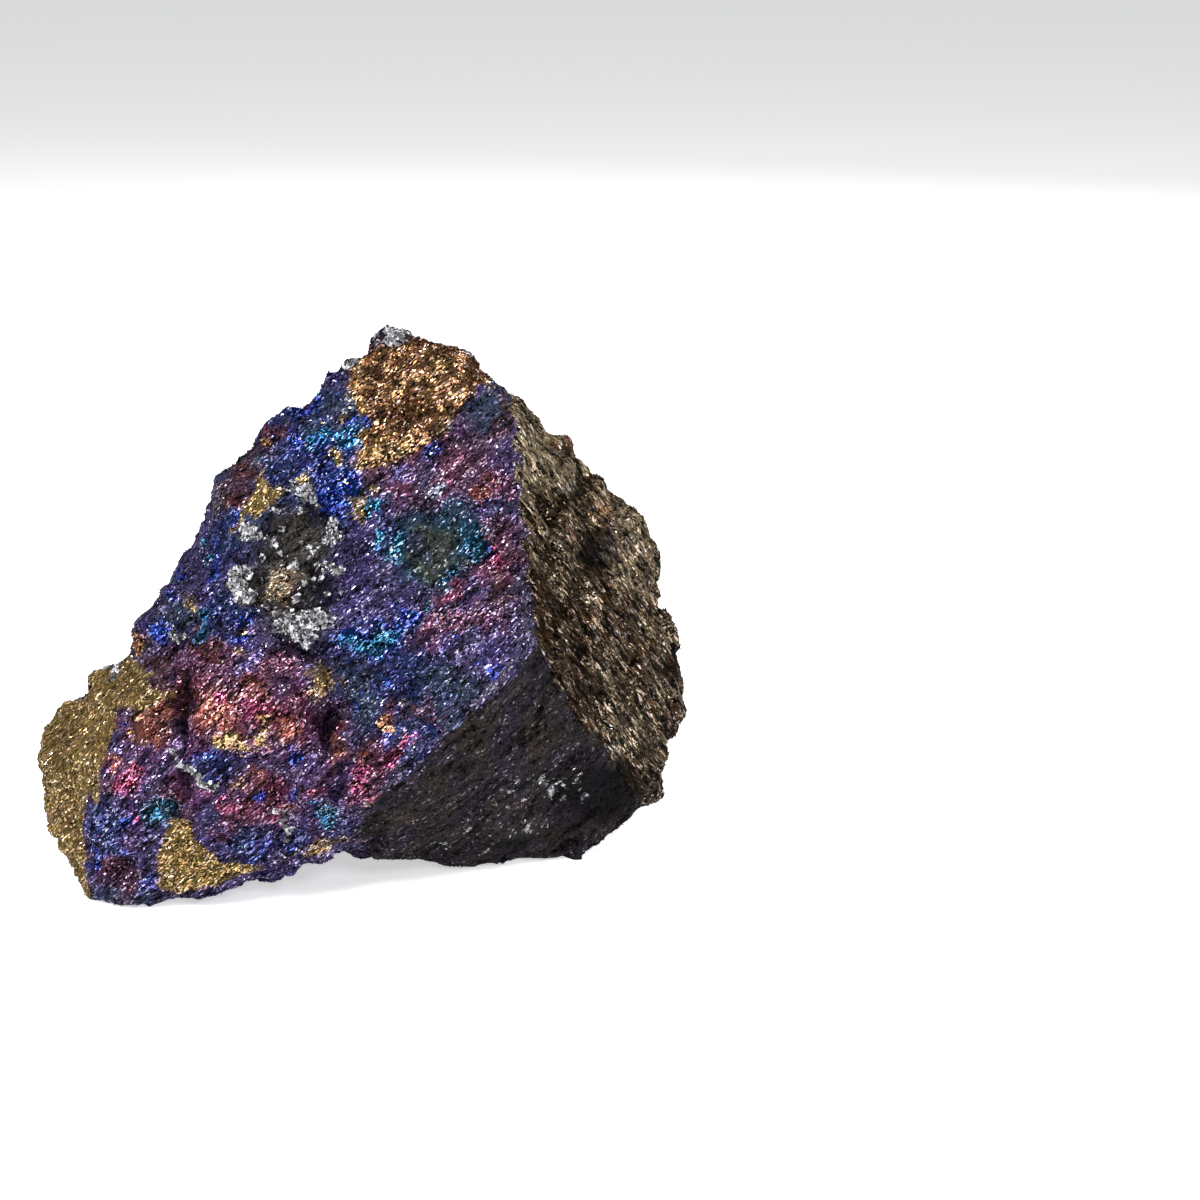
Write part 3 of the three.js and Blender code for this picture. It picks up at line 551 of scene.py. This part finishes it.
def tarnish_at(places, facing, stray=0.0):
    """What covers the ore at each place: the tint of its film, the share of light that it keeps where it is
    dull, how vivid it is, and the shares of quartz, of dark tone and painted shade, and of gap shade.

    The stray is how far off the film of each place may come from, so that patches mix grain by grain.
    """
    front, side, under = regions(places, facing)
    face = front * (1 - side) * (1 - under)
    plate_x, plate_z = wandered(places, places, PLATE_WANDER)
    strayed = places + stray
    x, z = wandered(strayed, places, PATCH_WANDER)
    tint = np.tile(srgb(UMBER)[:3], (len(places), 1))
    vivid = 0.3 + 0.3 * drift(places, 5, 31)
    kept = np.full(len(places), KEPT[UMBER])
    milky = np.zeros(len(places))
    dark = (0.15 + 0.6 * drift(places, 4, 41)).clip(0, 1)

    def lay_over(share, colour, own_vivid):
        nonlocal tint, vivid, kept
        tint = tint + (np.array(srgb(colour)[:3]) - tint) * share[:, None]
        vivid = vivid + (own_vivid - vivid) * share
        kept = kept + (KEPT[colour] - kept) * share

    def lay_zones(where, zones):
        for colour, scale, start, low, full, own_share, own_vivid in zones:
            zone = where * smoothstep(drift(strayed, scale, start), low, full)
            lay_over(zone * own_share, colour, own_vivid)

    # Brown weathering on the rest of the stone, with dull tarnish left in places.
    lay_zones(1.0, REST_ZONES)
    lay_over(side, UMBER, 0.5)
    lay_zones(side, SIDE_ZONES)
    for *patch, colour, own_vivid in SIDE_PATCHES:
        lay_over(0.8 * reach_share(patch, x, z) * side, colour, own_vivid)
    # The overhang faces down: its film is painted dark and dull as the shade under it.
    lay_over(under, UNDERSIDE_IN_SHADE, 0.12)
    lay_zones(under, UNDER_ZONES)
    lay_over(face, VIOLET, 0.4)
    dark = dark * (1 - face) * (1 - under) * (0.5 + 0.5 * side)
    for *patch, colour, own_vivid in PATCHES:
        lay_over(reach_share(patch, x, z) * face, colour, own_vivid)
    # Within a patch the film is thicker and thinner from place to place.
    foot = smoothstep(places[:, 2], *FOOT_HEIGHTS) * (places[:, 0] < FOOT_RIGHT)
    thickness_zones = ((LILAC, 81, face), (SLATE, 83, face), (MAROON, 87, face * foot), (INDIGO, 89, face))
    for colour, start, where in thickness_zones:
        share = smoothstep(drift(strayed, 3, start), 0.1, 0.3) * (0.5 - 0.5 * vivid).clip(0, 1)
        lay_over(share * where, colour, 0.35)
    plates = np.zeros(len(places))
    # Gap cells, painted dark as the shade between grains, are more common where the film is vivid.
    gap_shade = 0.06 + 0.34 * np.clip(vivid, 0, 1)
    gap_shade = gap_shade + (0.25 - gap_shade) * side
    clumpy = drift(places, 1.2, 43)
    for colour, own_vivid, own_gap_shade, outline in BRASSY_PLATES:
        plate = within(outline, plate_x, plate_z) * face
        lay_over(plate, colour, own_vivid)
        gap_shade = gap_shade + (own_gap_shade - gap_shade) * plate
        vivid = vivid + plate * 5 * own_gap_shade * clumpy
        plates = np.maximum(plates, plate)
    for *patch, colour, own_vivid, own_share in OVER_PATCHES:
        lay_over(own_share * reach_share(patch, x, z) * face, colour, own_vivid)
    for *patch, own_share in MILKY_PATCHES:
        milky = np.maximum(milky, own_share * reach_share(patch, x, z) * front)
    # Hollows, cracks and gaps are painted dark as their shade.
    for *patch, own_share in SHADE_AND_DARK_PATCHES:
        dark = np.maximum(dark, own_share * reach_share(patch, x, z) * front)
    # The quartz sits in ragged clumps, with gaps between them painted dark as shade.
    # Where there is little, only specks show.
    ragged = 0.5 * drift(places, 1.5, 97) + 0.85 * drift(places, 0.55, 99)
    clumps = smoothstep(milky + ragged, 0.5, 0.62) * (milky > 0.04)
    dark = np.maximum(dark * (1 - clumps), 0.9 * smoothstep(milky, 0.35, 0.6) * (1 - clumps))
    milky = clumps
    for width, line in QUARTZ_VEINS:
        vein = (1 - smoothstep(gap_to(line, plate_x, plate_z), 0.5 * width, width)) * front
        milky = np.maximum(milky, vein)
    # Streaks along the lay: brighter film on some, and gaps between the layers painted dark as shade.
    across_front = drift(squeezed_along(places, LAY_ACROSS_FRONT, 0.2), 0.8, 91)
    down_side = drift(squeezed_along(places, LAY_DOWN_SIDE, 0.12), 0.5, 93)
    vivid = vivid * (1 + np.where(side > 0.5, 1.2 * down_side, (1 - plates) * across_front))
    kept = kept * (1 + np.where(side > 0.5, 1.0 * down_side, 0.6 * across_front))
    gap_shade = np.maximum(gap_shade, 0.85 * side * smoothstep(-down_side, 0.12, 0.3))
    gap_shade = np.maximum(gap_shade, 0.45 * (1 - side) * (1 - plates) * smoothstep(-across_front, 0.15, 0.35))
    vivid = np.clip(vivid, 0, 1.1)
    return {"tint": tint, "kept": kept, "vivid": vivid, "milky": milky, "dark": dark, "gap_shade": gap_shade}


def film_on(covered, rng):
    """Dull film colour, glint colour with painted highlight, how far from glinting, and painted gap shade."""
    tint = covered["tint"]
    kept, vivid, milky, dark = [covered[name][:, None] for name in ("kept", "vivid", "milky", "dark")]
    hue, grey, gloss, open_share = rng.uniform(0, 1, (4, len(tint), 1))
    # Each grain has its own hue and strength of colour, close to those of the film around it.
    middle = tint.mean(axis=1, keepdims=True)
    turn = HUE_TURN * (hue - 0.5)
    turned = (tint - middle) * np.cos(turn) + np.cross(AXIS_OF_HUES, tint) * np.sin(turn)
    own = np.clip(middle + turned * (1 + 0.3 * np.minimum(vivid, 1)), 0, 1)
    dull = own * kept * (0.75 + 0.5 * grey)
    # Where it glints, the grain shows bare metal, made paler toward white as a painted highlight.
    glint_and_highlight = own * (0.85 + 0.15 * np.clip(vivid, 0, 1))
    glint_and_highlight = glint_and_highlight + (HIGHLIGHT_WHITE - glint_and_highlight) * (0.12 + 0.62 * np.clip((gloss - 0.5) / 0.5, 0, 1) ** 2)
    crystal = QUARTZ_SMOKY + (QUARTZ_WHITE - QUARTZ_SMOKY) * grey ** 3
    film = []
    # Dark tone and painted shade take both colours toward black.
    for colour in (dull, glint_and_highlight):
        colour = colour + (crystal - colour) * milky
        film.append(colour + (SHADE_BLACK - colour) * 0.94 * dark)
    margin = covered["vivid"] * GLINT_SHARE - 1.01 - covered["milky"] - 0.3 * covered["dark"]
    # The share of gap cells painted dark as shade differs from grain to grain.
    gap_shade = covered["gap_shade"] * (0.3 + 1.6 * open_share[:, 0])
    return {"dull": film[0], "glint_and_highlight": film[1], "margin": margin, "gap_shade": gap_shade}


def give_attributes(piece, values):
    """Values at each vertex: one number, or a colour of three."""
    for name, array in values.items():
        if array.ndim == 2:
            layer = piece.data.color_attributes.new(name, "FLOAT_COLOR", "POINT")
            array = np.hstack([array, np.ones((len(array), 1))])
            layer.data.foreach_set("color", array.astype(np.float32).ravel())
        else:
            layer = piece.data.attributes.new(name, "FLOAT", "POINT")
            layer.data.foreach_set("value", array.astype(np.float32))


# The crust up close: long bent cells, each a facet that is dull, a glint, or a gap painted dark as shade.
# How steeply they lean, the size of their bends in mm, how sharply a glint or a gap begins, and what light
# is left in a gap's painted shade.
CELL_LEAN = 0.5
BEND_SIZE = 0.8
GLINT_RISE = 8
GAP_SHADE_RISE = 10
LIGHT_LEFT_IN_GAP_SHADE = 0.05
# A dull facet is oxide, with hardly any shine. A glint is bare metal, worn smooth.
DULL_GLOSS = 0.02
DULL_METAL, GLINT_METAL = 0.05, 0.9
DULL_ROUGHNESS, GLINT_ROUGHNESS = 0.5, 0.28


def ore_finish(name, lay, toward, length, width, bend, contrast):
    """Dull oxides of copper and iron, with bare metallic facets that glint, in cells along the lay.

    The length and width of a cell and its bend are in mm. The contrast is how far cells differ in shade.
    """
    material = new_material(name)
    tree = material.node_tree
    attribute = {name: add(tree, "ShaderNodeAttribute", attribute_name=name).outputs
                 for name in ("dull", "glint_and_highlight", "margin", "gap_shade")}
    place = add(tree, "ShaderNodeTexCoord").outputs["Object"]
    sway = add(tree, "ShaderNodeTexNoise", {"Vector": place, "Scale": 1 / (BEND_SIZE * MM), "Detail": 1.0})
    place = add(tree, "ShaderNodeVectorMath", {
        "Vector": sway.outputs["Color"], "Vector_001": (bend * MM, bend * MM, bend * MM), "Vector_002": place,
    }, operation="MULTIPLY_ADD").outputs[0]
    across = lay.cross(toward).normalized()
    steps = [add(tree, "ShaderNodeVectorMath", {"Vector": place, "Vector_001": direction / (size * MM)},
                 operation="DOT_PRODUCT").outputs["Value"]
             for direction, size in ((lay, length), (across, width), (across.cross(lay), width))]
    cells = add(tree, "ShaderNodeCombineXYZ", {"X": steps[0], "Y": steps[1], "Z": steps[2]})
    cell = add(tree, "ShaderNodeTexVoronoi", {"Vector": cells.outputs[0], "Scale": 1.0})
    own = add(tree, "ShaderNodeTexWhiteNoise", {"Vector": cell.outputs["Position"]})
    own = add(tree, "ShaderNodeSeparateColor", {"Color": own.outputs["Color"]})
    over = add(tree, "ShaderNodeMath", {
        "Value": own.outputs["Green"], "Value_001": attribute["margin"]["Fac"]}, operation="ADD")
    glint = add(tree, "ShaderNodeMath", {"Value": over.outputs[0], "Value_001": GLINT_RISE},
                operation="MULTIPLY", use_clamp=True)
    # A gap cell is painted dark as the shade between grains, down to the light left in it.
    over = add(tree, "ShaderNodeMath", {
        "Value": own.outputs["Blue"], "Value_001": attribute["gap_shade"]["Fac"]}, operation="SUBTRACT")
    crust = add(tree, "ShaderNodeMath", {"Value": over.outputs[0], "Value_001": GAP_SHADE_RISE},
                operation="MULTIPLY", use_clamp=True)
    shade = add(tree, "ShaderNodeMapRange", {
        "Value": own.outputs["Red"], "To Min": 1 - contrast, "To Max": 1 + contrast})
    depth = add(tree, "ShaderNodeMath", {
        "Value": crust.outputs[0], "Value_001": shade.outputs[0], "Value_002": LIGHT_LEFT_IN_GAP_SHADE,
    }, operation="MULTIPLY_ADD")
    dull = add(tree, "ShaderNodeVectorMath", {
        "Vector": attribute["dull"]["Color"], "Scale": depth.outputs[0]}, operation="SCALE")
    # A glinting cell takes the colour of bare metal with its painted highlight.
    colour = add(tree, "ShaderNodeMix", {
        "Factor_Float": glint.outputs[0], "A_Color": dull.outputs[0], "B_Color": attribute["glint_and_highlight"]["Color"],
    }, data_type="RGBA")
    lean = add(tree, "ShaderNodeVectorMath", {
        "Vector": cell.outputs["Color"], "Vector_001": (0.5, 0.5, 0.5)}, operation="SUBTRACT")
    leaning = add(tree, "ShaderNodeVectorMath", {
        "Vector": lean.outputs[0], "Vector_001": (CELL_LEAN, CELL_LEAN, CELL_LEAN),
        "Vector_002": add(tree, "ShaderNodeNewGeometry").outputs["Normal"],
    }, operation="MULTIPLY_ADD")
    facet = add(tree, "ShaderNodeVectorMath", {"Vector": leaning.outputs[0]}, operation="NORMALIZE")
    metallic = add(tree, "ShaderNodeMapRange", {
        "Value": glint.outputs[0], "To Min": DULL_METAL, "To Max": GLINT_METAL})
    roughness = add(tree, "ShaderNodeMapRange", {
        "Value": glint.outputs[0], "To Min": DULL_ROUGHNESS, "To Max": GLINT_ROUGHNESS})
    shader = add(tree, "ShaderNodeBsdfPrincipled", {
        "Base Color": colour.outputs[2], "Metallic": metallic.outputs[0], "Roughness": roughness.outputs[0],
        "Specular IOR Level": DULL_GLOSS, "Normal": facet.outputs[0],
    })
    add(tree, "ShaderNodeOutputMaterial", {"Surface": shader.outputs["BSDF"]})
    return material


broken_ore = ore_finish(
    "tarnished_chalcopyrite_and_bornite", LAY_ACROSS_FRONT, BROAD_FACE,
    length=0.48, width=0.13, bend=0.5, contrast=0.35)
drawn_out_ore = ore_finish(
    "drawn_out_grains_of_bornite", LAY_ACROSS_FRONT, BROAD_FACE,
    length=0.65, width=0.15, bend=0.35, contrast=0.35)
layered_ore = ore_finish(
    "weathered_layers_of_ore", LAY_DOWN_SIDE, LAYERED_SIDE,
    length=1.3, width=0.16, bend=0.25, contrast=0.65)

# The body shows only between the grains, and is painted dark there as their shade. A crack is painted
# darker the deeper it is, as its shade.
GAP_SHADE_ON_BODY = 0.4
CRACK_SHADE = 1.6
DARKEST_CRACK_SHADE = 0.95

bmesh.ops.triangulate(ore, faces=ore.faces)
ore.normal_update()
body_corners = np.array([[vertex.index for vertex in face.verts] for face in ore.faces])
body_places = np.array([vertex.co[:] for vertex in ore.verts]) / MM
body_normals = np.array([vertex.normal[:] for vertex in ore.verts])
ore_body = piece_from("ore_body", ore, broken_ore)
body_tarnish = tarnish_at(body_places, facing)
body_tarnish["dark"] = np.maximum.reduce([
    body_tarnish["dark"], np.clip(crack_depth * CRACK_SHADE, 0, DARKEST_CRACK_SHADE),
    np.full(len(body_places), GAP_SHADE_ON_BODY),
])
give_attributes(ore_body, film_on(body_tarnish, np.random.default_rng(10)))
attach(ore_body, "root")
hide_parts("peacock_ore")

# ---- The grains of the break ----
# Small crystals of chalcopyrite and bornite that stand a little out of the break, each with flat sides of its
# own that catch the light. They are grown into the ore, and lie along its grain.

# The foot, in mm: it lies below its top, and left of a line that crosses the middle of the stone at the start
# height and runs this far to the right for each mm up.
FOOT_TOP = 27
FOOT_LINE_START, FOOT_LINE_RUN = 25, 0.5
# No grain is rooted below the first of these heights, and none reaches below the second.
LOWEST_GRAIN = 0.6
ABOVE_TABLE = 0.02
# The smallest and the largest share of the given size that a grain or crystal comes in.
LEAST_SIZE, MOST_SIZE = 0.6, 1.5

corner_places = body_places[body_corners]
face_sides = np.cross(corner_places[:, 1] - corner_places[:, 0], corner_places[:, 2] - corner_places[:, 0])
face_areas = np.linalg.norm(face_sides, axis=1) / 2
face_middles = corner_places.mean(axis=1)
face_normals = body_normals[body_corners].mean(axis=1)
face_facing = facing[body_corners].mean(axis=1)
front_share, side_share, under_share = regions(face_middles, face_facing)
face_share = front_share * (1 - side_share) * (1 - under_share)
foot_line = FOOT_LINE_RUN * (face_middles[:, 2] - FOOT_LINE_START)
foot_share = face_share * ((face_middles[:, 2] < FOOT_TOP) & (face_middles[:, 0] < foot_line))
above_base = face_middles[:, 2] > LOWEST_GRAIN


def unit(vectors):
    return vectors / np.linalg.norm(vectors, axis=1)[:, None]


def scatter(weights, count, rng):
    """Random places on the body, with the normals there. More fall where the weight is higher."""
    chances = face_areas * weights
    faces = rng.choice(len(chances), count, p=chances / chances.sum())
    shares = rng.dirichlet((1, 1, 1), count)
    places = (corner_places[faces] * shares[:, :, None]).sum(axis=1)
    return places, unit(face_normals[faces]), face_facing[faces]


def template(corners):
    """The corners and three-sided faces of a small closed shape that is wrapped around a few points."""
    shape = bmesh.new()
    for corner in corners:
        shape.verts.new(corner)
    bmesh.ops.convex_hull(shape, input=shape.verts)
    bmesh.ops.recalc_face_normals(shape, faces=shape.faces)
    bmesh.ops.triangulate(shape, faces=shape.faces)
    shape.verts.index_update()
    places = np.array([vertex.co[:] for vertex in shape.verts])
    faces = np.array([[vertex.index for vertex in face.verts] for face in shape.faces])
    shape.free()
    return places, faces


def grow(name, material, shape, spread, size, places, up, along, rng):
    """Small shapes of the given length, width and height at the given places, joined as one piece."""
    count = len(places)
    along = unit(along - up * (along * up).sum(axis=1)[:, None])
    across = np.cross(up, along)
    corners, faces = shape
    sizes = np.array(size) * rng.uniform(LEAST_SIZE, MOST_SIZE, (count, 3))
    local = (corners + rng.uniform(-0.5, 0.5, (count, *corners.shape)) * spread) * sizes[:, None, :]
    grown = places[:, None, :] + sum(
        local[:, :, axis, None] * direction[:, None, :] for axis, direction in enumerate((along, across, up)))
    grown[:, :, 2] = np.maximum(grown[:, :, 2], ABOVE_TABLE)
    mesh = bpy.data.meshes.new(name)
    starts = np.arange(count)[:, None, None] * len(corners)
    mesh.from_pydata((grown.reshape(-1, 3) * MM).tolist(), [], (faces[None] + starts).reshape(-1, 3).tolist())
    mesh.materials.append(material)
    grains = new_object(name, mesh)
    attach(grains, "root")
    return grains


# A grain is a crystal that has grown point down: a flat four-sided top, and a point that is sunk in the ore.
FLAKE = template([(-0.5, -0.25, 0.2), (-0.25, 0.5, 0.2), (0.5, 0.25, 0.2), (0.25, -0.5, 0.2), (0, 0, -0.8)])
FLAKE_SPREAD = np.array([0.35, 0.35, 0.3])
# How far off a grain's film comes from, in mm, and the share of grains whose film comes from far off.
STRAY = 0.15
FAR_STRAY = 1.2
FAR_SHARE = 0.06


def grow_grains(name, finish, weights, count, size, lay, tilt, turn, seed):
    """A crust of tarnished grains, laid along the lay and sunk in."""
    rng = np.random.default_rng(seed)
    places, normals, toward = scatter(weights * above_base, count, rng)
    up = unit(normals + rng.normal(0, tilt, (count, 3)))
    along = unit(np.array(lay) + rng.normal(0, turn, (count, 3)))
    grains = grow(name, finish, FLAKE, FLAKE_SPREAD, size, places, up, along, rng)
    reach = np.where(rng.uniform(0, 1, count) < FAR_SHARE, FAR_STRAY, STRAY)
    film = film_on(tarnish_at(places, toward, rng.normal(0, 1, (count, 3)) * reach[:, None]), rng)
    give_attributes(grains, {name: np.repeat(values, len(FLAKE[0]), axis=0) for name, values in film.items()})


rest_of_face = (face_share - foot_share).clip(0)
rear_share = (1 - front_share) * (1 - side_share)
grow_grains(
    "grains_of_broad_face", broken_ore, rest_of_face, count=32500, size=(0.52, 0.24, 0.17),
    lay=LAY_ACROSS_FRONT, tilt=0.22, turn=0.6, seed=11)
grow_grains(
    "grains_of_foot", drawn_out_ore, foot_share, count=23000, size=(0.58, 0.22, 0.17),
    lay=LAY_ACROSS_FRONT, tilt=0.22, turn=0.35, seed=12)
grow_grains(
    "grains_of_layered_side", layered_ore, side_share, count=33000, size=(0.95, 0.15, 0.12),
    lay=LAY_DOWN_SIDE, tilt=0.14, turn=0.12, seed=13)
grow_grains(
    "grains_of_overhang", broken_ore, under_share, count=17000, size=(0.42, 0.24, 0.12),
    lay=LAY_ACROSS_FRONT, tilt=0.16, turn=0.8, seed=14)
grow_grains(
    "grains_of_back", broken_ore, rear_share, count=24000, size=(0.7, 0.38, 0.2),
    lay=LAY_DOWN_SIDE, tilt=0.2, turn=0.6, seed=15)

# ---- The quartz ----
# Milky and smoky quartz in the pocket, along the crest and in a few thin veins: small broken crystals with
# clear faces, grown close together, with the ore between them painted dark as shade.

# How rough a clean face is, how far the corners of a crystal stray, and the power that leaves most smoky.
QUARTZ_ROUGHNESS = 0.22
QUARTZ_SPREAD = 0.5
SMOKY_POWER = 3.2
BLOCK = template([(x, y, z) for x in (-0.5, 0.5) for y in (-0.5, 0.5) for z in (-0.5, 0.5)])

# Broken quartz is glassy. It is white where it is full of fine cracks, and grey and dark where it is clear.
quartz = new_material("milky_quartz")
tree = quartz.node_tree
colour = add(tree, "ShaderNodeAttribute", attribute_name="film").outputs["Color"]
shader = add(tree, "ShaderNodeBsdfPrincipled", {"Base Color": colour, "Roughness": QUARTZ_ROUGHNESS})
add(tree, "ShaderNodeOutputMaterial", {"Surface": shader.outputs["BSDF"]})

quartz_share = tarnish_at(face_middles, face_facing)["milky"] ** 2 * (1 - under_share)


def grow_quartz(name, weights, count, size, lean, seed):
    """Broken crystals of quartz that point every way. Most are smoky, and few are white."""
    rng = np.random.default_rng(seed)
    places, normals, _ = scatter(weights, count, rng)
    up = unit(normals + rng.normal(0, lean, (count, 3)))
    along = unit(rng.normal(0, 1, (count, 3)))
    crystals = grow(name, quartz, BLOCK, np.full(3, QUARTZ_SPREAD), size, places, up, along, rng)
    film = QUARTZ_SMOKY + (QUARTZ_WHITE - QUARTZ_SMOKY) * rng.uniform(0, 1, (count, 1)) ** SMOKY_POWER
    give_attributes(crystals, {"film": np.repeat(film, len(BLOCK[0]), axis=0)})


grow_quartz("quartz_crumbs", quartz_share, count=4500, size=(0.32, 0.2, 0.18), lean=0.5, seed=21)
grow_quartz("quartz_shards", quartz_share ** 4, count=800, size=(0.6, 0.4, 0.18), lean=0.3, seed=22)
